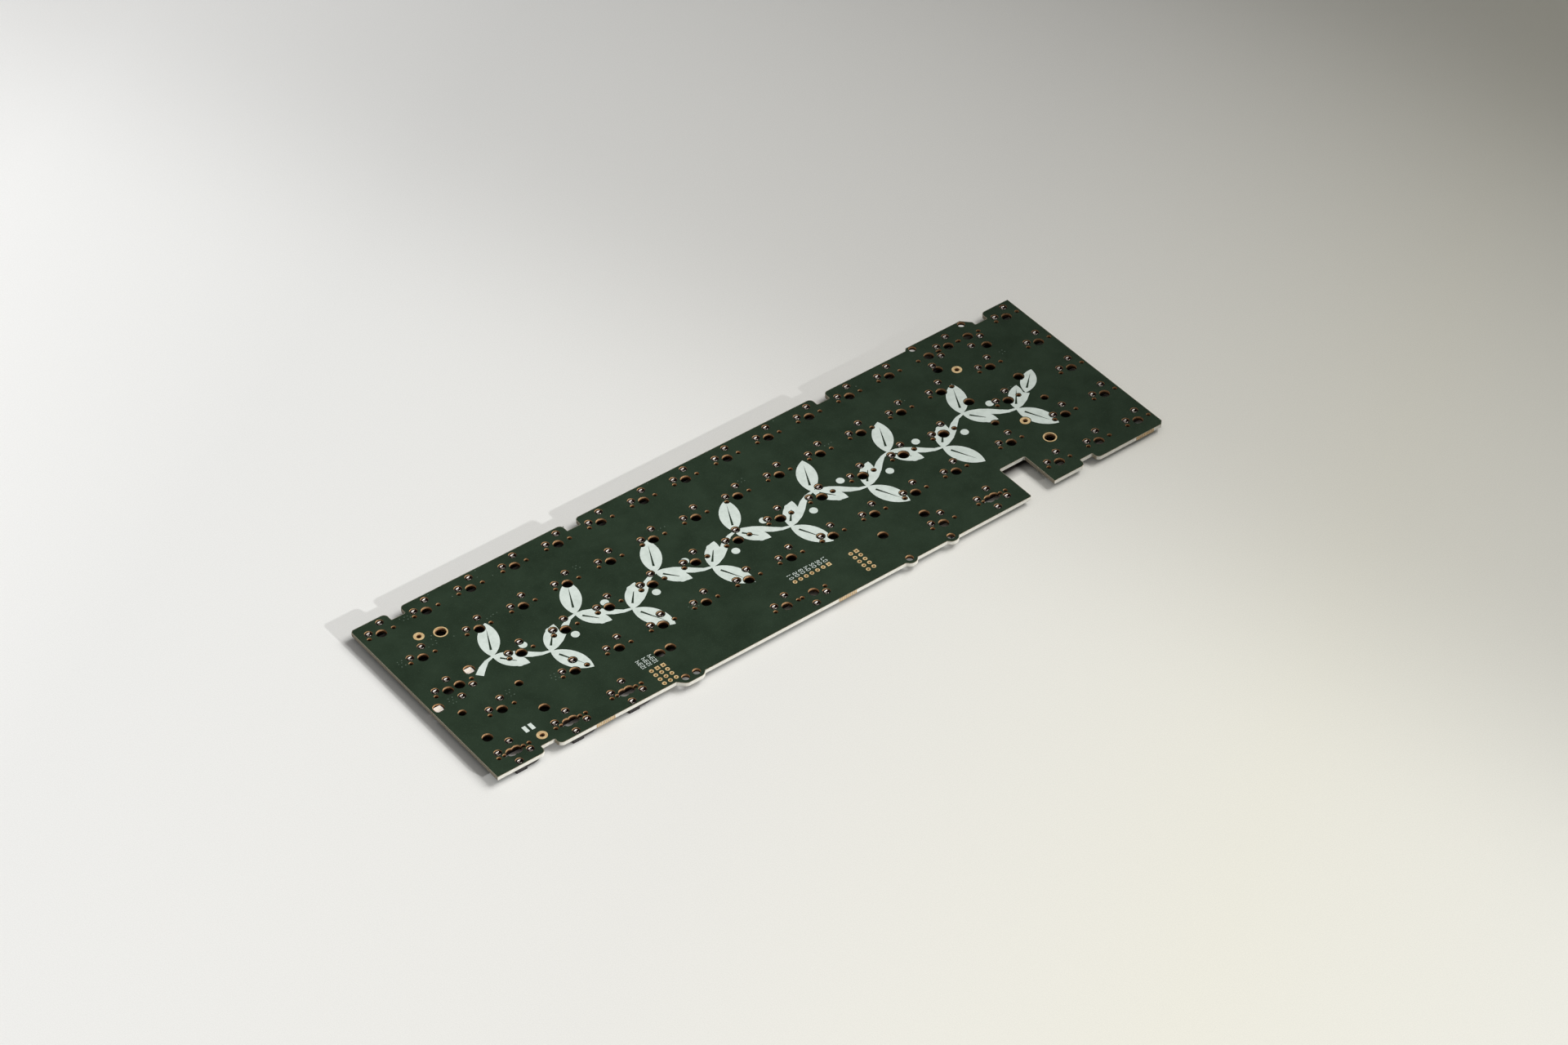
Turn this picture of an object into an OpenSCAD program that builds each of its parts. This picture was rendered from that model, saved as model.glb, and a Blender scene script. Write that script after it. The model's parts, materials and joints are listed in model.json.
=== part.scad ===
// Keyboard circuit board: a green board drilled for plug-in key switches, with a socket
// under every switch place and the electronics on its underside. It lies on its sockets.
// Places are counted in key units from the left edge of the key field and from the
// centre line of the back row; rows run from the back (0) to the front (4).

/* [Key field] */
// Distance between the centres of neighbouring keys
key_pitch = 19.05; // [18.9:0.05:19.2]
// Grid that the switch pins sit on
pin_grid = 1.27; // [1.25:0.005:1.29]

/* [Board] */
// Thickness of the board
board_t = 1.6; // [1.2:0.1:2]
// Board edge inside the key field at the left
inset_left = 1.3; // [0.8:0.1:1.8]
// Board edge inside the key field at the right
inset_right = 2.75; // [2:0.05:3.2]
// Board edge inside the key field at the back
inset_back = 1.9; // [1.5:0.1:2.2]
// Board edge inside the key field at the front, left and right stretches
inset_front = 2.45; // [2:0.05:2.7]
// Board edge inside the key field at the front, middle stretch
inset_middle = 1.1; // [0.8:0.1:1.6]
// Cut across the back left corner
back_corner_cut = 0.9; // [0.4:0.1:1.5]
// Cut across the front right corner
front_corner_cut = 1.5; // [0.5:0.1:2.5]

/* [Edge shapes] */
// Width of a notch in the edge
notch_w = 5.8; // [4:0.1:6.5]
// Depth of a notch in the back edge
back_notch_depth = 4; // [3:0.1:4.5]
// Depth of a notch in the front edge
front_notch_depth = 3.2; // [2.5:0.1:4]
// Rounding at the mouth of a notch
notch_mouth_r = 1.9; // [0.5:0.1:2]
// Rounding inside a notch
notch_floor_r = 0.4; // [0.2:0.1:1]
// Height of the tab that backs the wide key's stabilizer
tab_h = 1.25; // [1.1:0.05:1.8]
// Length of the tab beyond the stabilizer hole at its left end
tab_rim_left = 1.7; // [1:0.1:3]
// Length of the tab beyond the stabilizer hole at its right end
tab_rim_right = 0.75; // [0.3:0.05:1.5]
// Width of the window in the front edge
window_w = 12; // [9:0.5:13]
// Depth of the window from the middle stretch of the front edge
window_depth = 18.5; // [14:0.5:20]
// Rounding at the window's corners
window_r = 0.8; // [0.3:0.1:2]
// Radius of the bumps round the front stabilizer screws
bump_r = 3; // [2.6:0.1:3.4]

/* [Switch holes] */
// Hole for a switch's centre post
post_hole_d = 4; // [3.8:0.05:4.2]
// Hole for a socket's boss
pin_hole_d = 3; // [2.8:0.05:3.2]
// Hole for a switch's side peg
peg_hole_d = 1.7; // [1.5:0.05:1.74]

/* [Stabilizer holes] */
// Hole for a stabilizer's screw
stab_screw_d = 3.05; // [2.8:0.05:3.1]
// Hole for a stabilizer's clip
stab_clip_d = 3.99; // [3.7:0.01:4.2]
// Screw hole from the key's centre line
stab_screw_y = 6.985; // [6.9:0.005:7.05]
// Clip hole from the key's centre line
stab_clip_y = 8.255; // [8.1:0.005:8.4]
// Stabilizer holes from the centre of a wide key
stab_reach = 11.938; // [11.8:0.01:12.1]
// Stabilizer holes from the centre of the shorter space bar
short_bar_reach = 50; // [49.5:0.1:50.5]
// Stabilizer holes from the centre of the longer space bar
long_bar_reach = 57.15; // [56.8:0.05:57.5]

/* [Plated holes] */
// Thickness of the plating
plate_t = 0.05; // [0.03:0.01:0.08]
// Pad of a small fixing hole
small_ring_d = 4; // [3.4:0.1:4.4]
// Bore of a small fixing hole
small_bore_d = 2; // [1.6:0.1:2.4]
// Pad of a large fixing hole
large_ring_d = 5.3; // [5:0.1:6]
// Bore of a large fixing hole
large_bore_d = 4.3; // [3.8:0.1:4.5]
// Pad of a header hole
header_pad_d = 1.7; // [1.5:0.05:2]
// Bore of a header hole
header_bore_d = 0.9; // [0.7:0.05:1.1]

/* [White print] */
// Thickness of the print
print_t = 0.04; // [0.02:0.01:0.08]
// Bare border that the print leaves round a hole
print_gap = 0.3; // [0.2:0.05:0.6]
// Rise of the vine's stem above and below its middle line
stem_rise = 5; // [3:0.5:7]
// Width of the stem where it is thickest
stem_thick = 3; // [2:0.1:4]
// Width of the stem where it is thinnest
stem_thin = 1; // [0.5:0.1:1.4]
// Length of a large leaf
leaf_l = 17.5; // [14:0.5:19]
// Width of a large leaf
leaf_w = 7.8; // [5:0.2:9]
// Inner leaf's size as a share of the large one
inner_leaf = 0.78; // [0.5:0.02:0.9]
// Slit along the middle of a leaf
rib_w = 0.9; // [0.4:0.1:1.2]
// Diameter of a berry
berry_d = 3.2; // [2:0.1:4]
// Width of a marking bar
bar_w = 1.5; // [1:0.1:2]
// Length of a marking bar
bar_l = 3.1; // [2:0.1:4]

/* [Sockets] */
// Height of a socket's housing below the board
socket_t = 1.8; // [1.7:0.05:2.2]
// Height of the thin corner of a socket's housing
socket_thin_t = 0.9; // [0.7:0.05:1.2]
// Floor under a socket's contacts
socket_floor = 0.35; // [0.2:0.05:0.6]
// Boss below the board's top face
boss_recess = 0.4; // [0.2:0.05:0.7]
// Play of a boss in its hole, all round
boss_play = 0.05; // [0.03:0.01:0.1]
// Wall of a boss
boss_wall = 0.35; // [0.25:0.05:0.45]
// Thickness of a contact's sheet metal
sheet_t = 0.22; // [0.15:0.01:0.3]
// Slit between a contact's two prongs
prong_slit = 0.5; // [0.3:0.05:0.8]
// Turn of the slit from the key row
slit_turn = -45; // [-60:5:60]
// Top of the prongs below the boss
prong_drop = 0.15; // [0.05:0.05:0.4]
// Width of a contact's neck
neck_w = 1.6; // [1.2:0.1:1.9]
// Length of a contact's soldered foot
foot_l = 1.5; // [1.2:0.05:1.55]
// Width of a contact's soldered foot
foot_w = 2.5; // [2:0.1:2.6]

/* [Diodes] */
// Length of a diode's body
diode_l = 2.7; // [2.4:0.1:2.9]
// Width of a diode's body
diode_w = 1.6; // [1.3:0.1:1.8]
// Height of a diode's body
diode_h = 1.1; // [0.9:0.05:1.3]
// Length of a diode over its leads
diode_span = 3.7; // [3.4:0.1:3.9]
// Width of a diode's lead
diode_lead_w = 0.6; // [0.4:0.05:0.8]

/* [Controller] */
// Side of the controller's body
chip_side = 10; // [9:0.5:11]
// Height of the controller's body
chip_h = 1.4; // [1.2:0.05:1.5]
// Width of the controller over its leads
chip_span = 12; // [11.8:0.1:13]
// Distance between the controller's leads
chip_lead_pitch = 0.5; // [0.4:0.01:0.55]
// Width of a controller lead
chip_lead_w = 0.22; // [0.16:0.01:0.28]
// Leads on each side of the controller
chip_leads = 16; // [8:1:16]

/* [Small parts] */
// Thickness of a lead's sheet
lead_t = 0.15; // [0.1:0.01:0.2]
// Gap between a moulded body and the board
standoff = 0.1; // [0.05:0.01:0.15]
// Length of a small chip's body
sot_l = 2.9; // [2.7:0.05:3.1]
// Width of a small chip's body
sot_w = 1.4; // [1.2:0.05:1.6]
// Width of a small chip over its leads
sot_span = 2.6; // [2.4:0.1:3]
// Height of a small chip's body
sot_h = 1; // [0.9:0.05:1.2]
// Distance between a small chip's leads
sot_pitch = 0.95; // [0.9:0.01:1]
// Width of a small chip's lead
sot_lead_w = 0.4; // [0.3:0.02:0.5]
// Length of a chip capacitor or resistor
chip_part_l = 1.6; // [1.4:0.1:1.8]
// Width of a chip capacitor or resistor
chip_part_w = 0.8; // [0.6:0.05:0.9]
// Height of a chip capacitor
capacitor_h = 0.8; // [0.6:0.05:0.9]
// Height of a chip resistor
resistor_h = 0.45; // [0.35:0.05:0.6]
// Length of the fuse
fuse_l = 3.2; // [2.8:0.1:3.6]
// Width of the fuse
fuse_w = 1.6; // [1.4:0.1:1.8]
// Height of the fuse
fuse_h = 0.7; // [0.5:0.05:1]
// Length of an end cap on a chip part
end_cap_l = 0.35; // [0.2:0.05:0.5]
// Length of the crystal's base
crystal_l = 3.2; // [3:0.1:3.4]
// Width of the crystal's base
crystal_w = 2.5; // [2.2:0.1:2.7]
// Height of the crystal's base
crystal_h = 0.5; // [0.4:0.05:0.7]
// Rim round the crystal's lid
crystal_rim = 0.18; // [0.1:0.02:0.3]
// Height of the crystal's lid
crystal_lid_h = 0.25; // [0.15:0.05:0.4]

/* [Connector] */
// Wires that the connector takes
connector_ways = 4; // [3:1:6]
// Distance between the connector's pins
connector_pitch = 1.2; // [1:0.05:1.4]
// Depth of the connector's housing
connector_depth = 4.2; // [3.6:0.1:5]
// Height of the connector's housing
connector_h = 1.55; // [1.4:0.05:1.65]
// Wall of the connector's housing
connector_wall = 0.35; // [0.25:0.05:0.4]
// Side wall and hold-down room at each end
connector_end = 1.5; // [1.2:0.1:2]
// Width of a connector pin
connector_pin_w = 0.4; // [0.3:0.05:0.5]

/* [Lamps] */
// Length of a lamp's body
lamp_l = 3; // [2.6:0.1:3.2]
// Width of a lamp's body
lamp_w = 2.7; // [2.4:0.1:2.9]
// Lamp's face below the board's top
lamp_recess = 0.5; // [0.2:0.05:0.8]
// Lamp's body below the board's underside
lamp_under = 0.7; // [0.5:0.05:1]
// Play of a lamp's corners in its hole
lamp_play = 0.1; // [0.05:0.05:0.2]
// Diameter of a lamp's window
lamp_window_d = 2.2; // [1.6:0.1:2.4]
// Depth of a lamp's window
lamp_window_t = 0.15; // [0.1:0.05:0.3]
// Width of a lamp's lead
lamp_lead_w = 1; // [0.6:0.1:1.4]
// Length of a lamp over its leads
lamp_span = 6.2; // [5.8:0.1:6.6]

/* [Hidden] */
$fn = 48;

// Rows in key units: each starts with a key of its own width and goes on with single keys;
// its last wide key fills the room up to the column of single keys at the right
field_units = 16;
column_edge = field_units - 1;
right_column = field_units - 0.5;
first_key_w = [1, 1.5, 1.75, 2.25];
single_keys = [12, 12, 11, 10];
arrow_keys = [for (i = [2 : -1 : 1]) right_column - i];
shift_edge = column_edge - 1;
function run_end(row) = first_key_w[row] + single_keys[row];
function run(row) = [for (i = [1 : single_keys[row]]) first_key_w[row] + i - 0.5];
function filled(row, edge) = (run_end(row) + edge) / 2;
wide_key = filled(0, column_edge);
enter_key = filled(2, column_edge);
left_shift = first_key_w[3] / 2;

// Bottom row for the shorter and for the longer space bar
short_bar = 6.875;
long_bar = 7.5;
front_keys = [0.625, 1.875, 3.125, short_bar, 10.625, 11.75];
turned_front_keys = [0.75, 2, 3.25, long_bar, 11.875];
lock_key = 0.625;

// Key places of each row; turned keys have their switch the other way round
upright_keys = [
  concat([first_key_w[0] / 2], run(0), [wide_key, right_column]),
  concat([first_key_w[1] / 2], run(1), [filled(1, column_edge), right_column]),
  concat([lock_key], run(2), [enter_key, right_column]),
  concat([left_shift], run(3), [filled(3, shift_edge)], [arrow_keys[1], right_column]),
  concat(front_keys, arrow_keys, [right_column])
];
split_keys = [(run_end(0) + wide_key) / 2, (wide_key + column_edge) / 2];
turned_keys = [split_keys, [], [first_key_w[2] / 2], [], turned_front_keys];
last_row = len(upright_keys) - 1;

// Keys that share a diode with a turned key beside them, and keys with none of their own
paired_keys = [[], [], [lock_key], [], [for (x = front_keys) if (x != front_keys[4]) x]];
diode_less_keys = [[wide_key], [], [], [], []];

// Wide keys with stabilizers: place, row, reach, and +1 where the screws are at the back
stabilizers = [
  [left_shift, 3, stab_reach, 1],
  [enter_key, 2, stab_reach, -1],
  [wide_key, 0, stab_reach, 1],
  [short_bar, last_row, short_bar_reach, -1],
  [long_bar, last_row, long_bar_reach, -1]
];

// Places along the edge, in key units
back_notches = [1, 5, 11, column_edge];
left_front_notch = 1.286;
right_front_notch = column_edge - 1;
window_middle = 12.75;

// Places on the face, in key units
small_ring_places = [
  [1, -0.488], [1.3125, -3.984], [wide_key - 0.328, -0.666], [column_edge - 1.25, -2.672]
];
large_ring_places = [[1.386, -0.635], [column_edge - 1.184, -3.339]];
lamp_places = [[1.234, -1.78], [0.226, -2.268]];
bar_places = [[1.16, -3.685], [1.291, -3.685]];

// Header groups: middle of the group, columns, rows, and the square pads' places in it
left_header = [[3.982, -4.06], 3, 4, [[1, 0], [2, 0]]];
middle_header = [[7.79, -3.573], 7, 1, [[6, 0]]];
right_header = [[8.758, -3.869], 2, 5, [[1, 0]]];
header_pitch = 2 * pin_grid;

// Underside places, in key units
controller_place = [5.57, -3.885];
connector_place = [3, -0.36];
fuse_place = [3.64, -0.488];
surge_chip_place = [3.94, -0.488];
regulator_place = [4.24, -0.488];

// Length, width and height of the small parts
capacitor_size = [chip_part_l, chip_part_w, capacitor_h];
resistor_size = [chip_part_l, chip_part_w, resistor_h];
fuse_size = [fuse_l, fuse_w, fuse_h];
crystal_size = [crystal_l, crystal_w, crystal_h];

// Board edges, from the key field
field_w = field_units * key_pitch;
back_y = key_pitch / 2 - inset_back;
field_front_y = -(last_row + 0.5) * key_pitch;
front_y = field_front_y + inset_front;
middle_y = field_front_y + inset_middle;
left_x = inset_left;
right_x = field_w - inset_right;
tab_y = back_y + tab_h;
front_screw_y = -last_row * key_pitch - stab_screw_y;
bump_y = front_screw_y - bump_r;
window_top_y = middle_y + window_depth;
window_left_x = window_middle * key_pitch - window_w / 2;
window_right_x = window_left_x + window_w;
bar_left_a = stabilizers[3].x * key_pitch - short_bar_reach;
bar_right_a = stabilizers[3].x * key_pitch + short_bar_reach;
bar_left_b = stabilizers[4].x * key_pitch - long_bar_reach;
bar_right_b = stabilizers[4].x * key_pitch + long_bar_reach;

// Heights: the tallest underside part stands on the surface
under_h = max(socket_t, standoff + chip_h, standoff + diode_h, standoff + sot_h, connector_h,
              lamp_under, fuse_size.z, capacitor_size.z, crystal_size.z + crystal_lid_h);
board_z = under_h;
board_top = board_z + board_t;

// The part's own frame: middle of the outline, surface that it lies on
origin = [(left_x + right_x) / 2, (tab_y + bump_y) / 2];

// Switch and socket geometry on the pin grid
pin_places = [[-3, 2] * pin_grid, [2, 4] * pin_grid];
peg_x = 4 * pin_grid;
boss_d = pin_hole_d - 2 * boss_play;
boss_h = board_t - boss_recess;
cup_d = boss_d - 2 * boss_wall;
cup_play = 0.02;
foot_gap = 0.1;
socket_left_x = -5 * pin_grid;
socket_right_x = 4 * pin_grid;

// Diode places from a key's centre: in front of the switch, or behind its socket
diode_front_y = 5.2;
diode_behind_x = 4;
diode_behind_y = 8.8;
diode_front = [0, -diode_front_y];
diode_behind = [diode_behind_x, diode_behind_y];
split_diode_shift = 0.5;

// Play between drilled walls and plating
plating_play = 0.01;

// Points of a path whose corners [x, y, r] are rounded to their radius
function unit(v) = v / norm(v);
function corner(before, at, after, steps = 6) =
  let (
    p = [at.x, at.y],
    a = unit([before.x, before.y] - p),
    b = unit([after.x, after.y] - p),
    half = acos(a * b) / 2,
    centre = p + unit(a + b) * at[2] / sin(half),
    start = p + a * at[2] / tan(half) - centre,
    finish = p + b * at[2] / tan(half) - centre,
    first = atan2(start.y, start.x),
    turn = atan2(start.x * finish.y - start.y * finish.x, start * finish)
  )
  at[2] == 0 ? [p] : [for (i = [0 : steps])
    centre + at[2] * [cos(first + turn * i / steps), sin(first + turn * i / steps)]];
function rounded(path) =
  let (n = len(path))
  [for (i = [0 : n - 1]) each corner(path[(i + n - 1) % n], path[i], path[(i + 1) % n])];

// Notch in an edge, run through from left to right or back again
function notch(x, edge_y, depth, way) = [
  [x - way * notch_w / 2, edge_y, notch_mouth_r],
  [x - way * notch_w / 2, edge_y - way * depth, notch_floor_r],
  [x + way * notch_w / 2, edge_y - way * depth, notch_floor_r],
  [x + way * notch_w / 2, edge_y, notch_mouth_r]
];

// Bump round one or two screws, grown out of the front edge with 45 degree flanks
bump_root_y = front_screw_y + bump_r;
bump_foot = bump_r / tan(22.5);
bump_corner = bump_r * tan(22.5);
bump_round = 0.9 * bump_r;
module bump(left, right) {
  polygon(rounded([
    [right + bump_foot, bump_root_y, 0], [right + bump_corner, bump_y, bump_round],
    [left - bump_corner, bump_y, bump_round], [left - bump_foot, bump_root_y, 0]
  ]));
}

// Outline of the board, clockwise from the back left corner
tab_left_x = wide_key * key_pitch - stab_reach - tab_rim_left;
tab_right_x = wide_key * key_pitch + stab_reach + tab_rim_right;
tab_notch = notch(back_notches[3] * key_pitch, back_y, back_notch_depth, 1);
board_path = concat(
  [[left_x, back_y - back_corner_cut, 0], [left_x + back_corner_cut, back_y, 0]],
  [for (i = [0 : 2]) each notch(back_notches[i] * key_pitch, back_y, back_notch_depth, 1)],
  [[tab_left_x - tab_h, back_y, 0], [tab_left_x, tab_y, 0], [tab_right_x, tab_y, 0]],
  [[tab_notch[0].x, tab_y - (tab_notch[0].x - tab_right_x), 0]],
  [tab_notch[1], tab_notch[2], tab_notch[3]],
  [[right_x, back_y, 0], [right_x, front_y + front_corner_cut, 0]],
  [[right_x - front_corner_cut, front_y, 0]],
  notch(right_front_notch * key_pitch, front_y, front_notch_depth, -1),
  [[window_right_x, front_y, 0], [window_right_x, window_top_y, window_r]],
  [[window_left_x, window_top_y, window_r], [window_left_x, middle_y, window_r]],
  [[bar_left_a, middle_y, 0], [bar_left_a, front_y, 0]],
  notch(left_front_notch * key_pitch, front_y, front_notch_depth, -1),
  [[left_x, front_y, 0]]
);

// Placing helpers
module in_frame(z = 0) {
  translate([-origin.x, -origin.y, z]) children();
}

module at(place) {
  translate(place * key_pitch) children();
}

module at_keys(row) {
  for (x = upright_keys[row]) at([x, -row]) children();
  for (x = turned_keys[row]) at([x, -row]) rotate(180) children();
}

// Underside parts are drawn standing on the plane z = 0 and hung under the board
module under_board() {
  in_frame(board_z) mirror([0, 0, 1]) children();
}

module at_header(header) {
  middle = [header[1] - 1, 1 - header[2]] * header_pitch / 2;
  for (column = [0 : header[1] - 1], line = [0 : header[2] - 1]) {
    $square_pad = len([for (s = header[3]) if (s == [column, line]) s]) > 0;
    at(header[0]) translate([column, -line] * header_pitch - middle) children();
  }
}

module at_diodes(row) {
  for (x = upright_keys[row]) {
    paired = len(search(x, paired_keys[row])) > 0;
    bare = len(search(x, diode_less_keys[row])) > 0;
    if (!bare) at([x, -row]) translate(paired ? diode_behind : diode_front) children();
  }
  for (x = row == 0 ? turned_keys[row] : []) {
    at([x + sign(x - wide_key) * split_diode_shift, -row]) translate(diode_front) rotate(90) children();
  }
}

// Holes of one switch place, widened by grow
module switch_holes(grow) {
  circle(d = post_hole_d + 2 * grow);
  for (p = pin_places) translate(p) circle(d = pin_hole_d + 2 * grow);
  for (side = [-1, 1]) translate([side * peg_x, 0]) circle(d = peg_hole_d + 2 * grow);
}

module stabilizer_holes(grow) {
  for (s = stabilizers, side = [-1, 1]) at([s[0], -s[1]]) {
    translate([side * s[2], s[3] * stab_screw_y]) circle(d = stab_screw_d + 2 * grow);
    translate([side * s[2], -s[3] * stab_clip_y]) circle(d = stab_clip_d + 2 * grow);
  }
}

module lamp_holes(grow) {
  for (p = lamp_places) at(p) circle(d = norm([lamp_l, lamp_w]) + 2 * (lamp_play + grow));
}

module plated_drillings() {
  for (p = small_ring_places) at(p) circle(d = small_bore_d);
  for (p = large_ring_places) at(p) circle(d = large_bore_d);
  for (h = [left_header, middle_header, right_header]) {
    at_header(h) circle(d = header_bore_d + 2 * plate_t);
  }
}

module circuit_board() {
  color([0.18, 0.24, 0.19]) in_frame(board_z) linear_extrude(board_t) difference() {
    union() {
      polygon(rounded(board_path));
      bump(bar_left_a, bar_left_b);
      bump(bar_right_a, bar_right_a);
      bump(bar_right_b, bar_right_b);
    }
    for (row = [0 : last_row]) at_keys(row) switch_holes(0);
    stabilizer_holes(0);
    lamp_holes(0);
    plated_drillings();
  }
}

// White print: a leafy vine along the middle of the board
vine_left = 1.3 * key_pitch;
vine_right = (column_edge - 0.7) * key_pitch;
vine_y = -2.03 * key_pitch;
vine_waves = 7;
outer_lean = 64;
inner_lean = 50;
berry_reach = 4.6;
function vine_point(t) =
  [vine_left + t * (vine_right - vine_left), vine_y + stem_rise * sin(360 * vine_waves * t)];
function vine_heading(t) =
  let (d = vine_point(t + 0.001) - vine_point(t - 0.001)) atan2(d.y, d.x);
function stem_half(t) =
  (stem_thin + (stem_thick - stem_thin) * pow(cos(360 * vine_waves * t), 2)) / 2;
function stem_side(t, side) =
  vine_point(t) + side * stem_half(t) * [-sin(vine_heading(t)), cos(vine_heading(t))];
stem_steps = 12 * vine_waves;
stem_outline = concat(
  [for (i = [0 : stem_steps]) stem_side(i / stem_steps, 1)],
  [for (i = [stem_steps : -1 : 0]) stem_side(i / stem_steps, -1)]
);

module leaf(size) {
  long = leaf_l * size;
  wide = leaf_w * size;
  arc_r = (long * long + wide * wide) / (4 * wide);
  difference() {
    intersection_for(side = [-1, 1]) {
      translate([long / 2, side * (arc_r - wide / 2)]) circle(r = arc_r);
    }
    polygon([[0.2 * long, -rib_w / 2], [0.85 * long, 0], [0.2 * long, rib_w / 2]]);
  }
}

module vine() {
  polygon(stem_outline);
  for (i = [0 : 2 * vine_waves - 1]) {
    crest = (i + 0.5) / (2 * vine_waves);
    crossing = i / (2 * vine_waves);
    side = i % 2 == 0 ? 1 : -1;
    translate(vine_point(crest)) rotate(side * outer_lean) leaf(1);
    translate(vine_point(crest)) rotate(-side * inner_lean) leaf(inner_leaf);
    for (way = i > 0 ? [-1, 1] : []) translate(vine_point(crossing)) {
      rotate(vine_heading(crossing)) translate([0, way * berry_reach]) circle(d = berry_d);
    }
  }
  translate(vine_point(1)) rotate(vine_heading(1)) leaf(inner_leaf);
}

module vine_print() {
  color([0.83, 0.87, 0.84]) in_frame(board_top) linear_extrude(print_t) difference() {
    vine();
    for (row = [1 : 3]) at_keys(row) switch_holes(print_gap);
    stabilizer_holes(print_gap);
    lamp_holes(print_gap);
    for (p = small_ring_places) at(p) circle(d = small_ring_d + 2 * print_gap);
  }
}

module mark_bars() {
  color([0.83, 0.87, 0.84]) in_frame(board_top) linear_extrude(print_t) {
    for (p = bar_places) at(p) square([bar_w, bar_l], center = true);
  }
}

// Plated pads on both faces of the board, round a bore
module pad_pair(pad_d, bore_d, square_pad = false) {
  for (z = [board_z - plate_t, board_top]) translate([0, 0, z]) {
    linear_extrude(plate_t) difference() {
      if (square_pad) square(pad_d, center = true);
      else circle(d = pad_d);
      circle(d = bore_d);
    }
  }
}

// Header hole: its pads are joined by a barrel through the board
module header_hole(square_pad) {
  barrel_d = header_bore_d + 2 * (plate_t - plating_play);
  pad_pair(header_pad_d, header_bore_d, square_pad);
  translate([0, 0, board_z - plate_t]) linear_extrude(board_t + 2 * plate_t) difference() {
    circle(d = barrel_d);
    circle(d = header_bore_d);
  }
}

module small_mount_rings() {
  color([0.85, 0.76, 0.5]) in_frame() {
    for (p = small_ring_places) at(p) pad_pair(small_ring_d, small_bore_d);
  }
}

module large_mount_rings() {
  color([0.85, 0.76, 0.5]) in_frame() {
    for (p = large_ring_places) at(p) pad_pair(large_ring_d, large_bore_d);
  }
}

module header_pads(header) {
  color([0.85, 0.76, 0.5]) in_frame() {
    at_header(header) header_hole($square_pad);
  }
}

// Socket housing in plan: a body round both pins, hollowed round the switch's post
function arc(centre, r, from, to, steps = 8) =
  [for (i = [0 : steps]) let (a = from + (to - from) * i / steps) centre + r * [cos(a), sin(a)]];
post_clear_r = 2 * pin_grid;
socket_outline = concat(
  [[-5, 0.5] * pin_grid],
  arc([-2, 2.5] * pin_grid, 3 * pin_grid, 180, 90),
  [[4, 5.5] * pin_grid, [4, 2] * pin_grid],
  arc([0, 0], post_clear_r, 90, 180 - asin(0.25))
);

// Necks and feet of the two contacts in plan: wall that each passes, and its way out
contact_walls = [socket_left_x, socket_right_x];
contact_ways = [-1, 1];

module contact_neck(i, grow) {
  run_out = abs(contact_walls[i] - pin_places[i].x) + grow;
  translate(pin_places[i]) translate([contact_ways[i] > 0 ? 0 : -run_out, -neck_w / 2 - grow]) {
    square([run_out, neck_w + 2 * grow]);
  }
}

module contact_foot(i) {
  start = contact_walls[i] + contact_ways[i] * foot_gap;
  translate([contact_ways[i] > 0 ? start : start - foot_l, pin_places[i].y - foot_w / 2]) {
    square([foot_l, foot_w]);
  }
}

module contact_link(i) {
  from = contact_walls[i] - contact_ways[i] * foot_gap;
  size = 3 * foot_gap;
  translate([contact_ways[i] > 0 ? from : from - size, pin_places[i].y - neck_w / 2]) {
    square([size, neck_w]);
  }
}

// The corner beside the left pin is thin, as far as the wall round the right pin's cup
thin_edge_x = pin_places[1].x - pin_hole_d / 2 - boss_wall;
thin_edge_y = pin_places[0].y + pin_hole_d / 2 + boss_wall;
socket_z = board_z - socket_t;
neck_z = board_z - sheet_t;
cup_bottom_z = socket_z + socket_floor;
prong_top_z = board_z + boss_h - prong_drop;
cup_bore_d = cup_d - 2 * sheet_t;

module socket_housing() {
  difference() {
    union() {
      translate([0, 0, socket_z]) linear_extrude(socket_t) polygon(socket_outline);
      for (p = pin_places) translate([p.x, p.y, socket_z + socket_floor]) {
        cylinder(d = boss_d, h = socket_t - socket_floor + boss_h);
      }
    }
    for (p = pin_places) translate([p.x, p.y, cup_bottom_z]) {
      cylinder(d = cup_d + 2 * cup_play, h = socket_t + boss_h);
    }
    translate([2 * socket_left_x, thin_edge_y, socket_z - socket_t]) {
      cube([thin_edge_x - 2 * socket_left_x, socket_t - socket_left_x, 2 * socket_t - socket_thin_t]);
    }
    for (i = [0, 1]) translate([0, 0, neck_z - cup_play]) {
      linear_extrude(sheet_t + cup_play) contact_neck(i, cup_play);
    }
  }
}

module socket_contact(i) {
  translate([0, 0, neck_z]) linear_extrude(sheet_t) {
    difference() {
      union() {
        contact_neck(i, 0);
        contact_link(i);
        contact_foot(i);
        translate(pin_places[i]) circle(d = cup_d);
      }
      translate(pin_places[i]) circle(d = cup_bore_d);
    }
  }
  translate([pin_places[i].x, pin_places[i].y, cup_bottom_z]) {
    linear_extrude(neck_z - cup_bottom_z) difference() {
      circle(d = cup_d);
      circle(d = cup_bore_d);
    }
  }
  translate([pin_places[i].x, pin_places[i].y, board_z]) {
    linear_extrude(prong_top_z - board_z) difference() {
      circle(d = cup_d);
      circle(d = cup_bore_d);
      rotate(slit_turn) square([2 * cup_d, prong_slit], center = true);
    }
  }
}

module sockets(row) {
  color([0.07, 0.07, 0.08]) in_frame() at_keys(row) socket_housing();
}

module socket_contacts(row) {
  color([0.78, 0.79, 0.8]) in_frame() at_keys(row) {
    socket_contact(0);
    socket_contact(1);
  }
}

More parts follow.
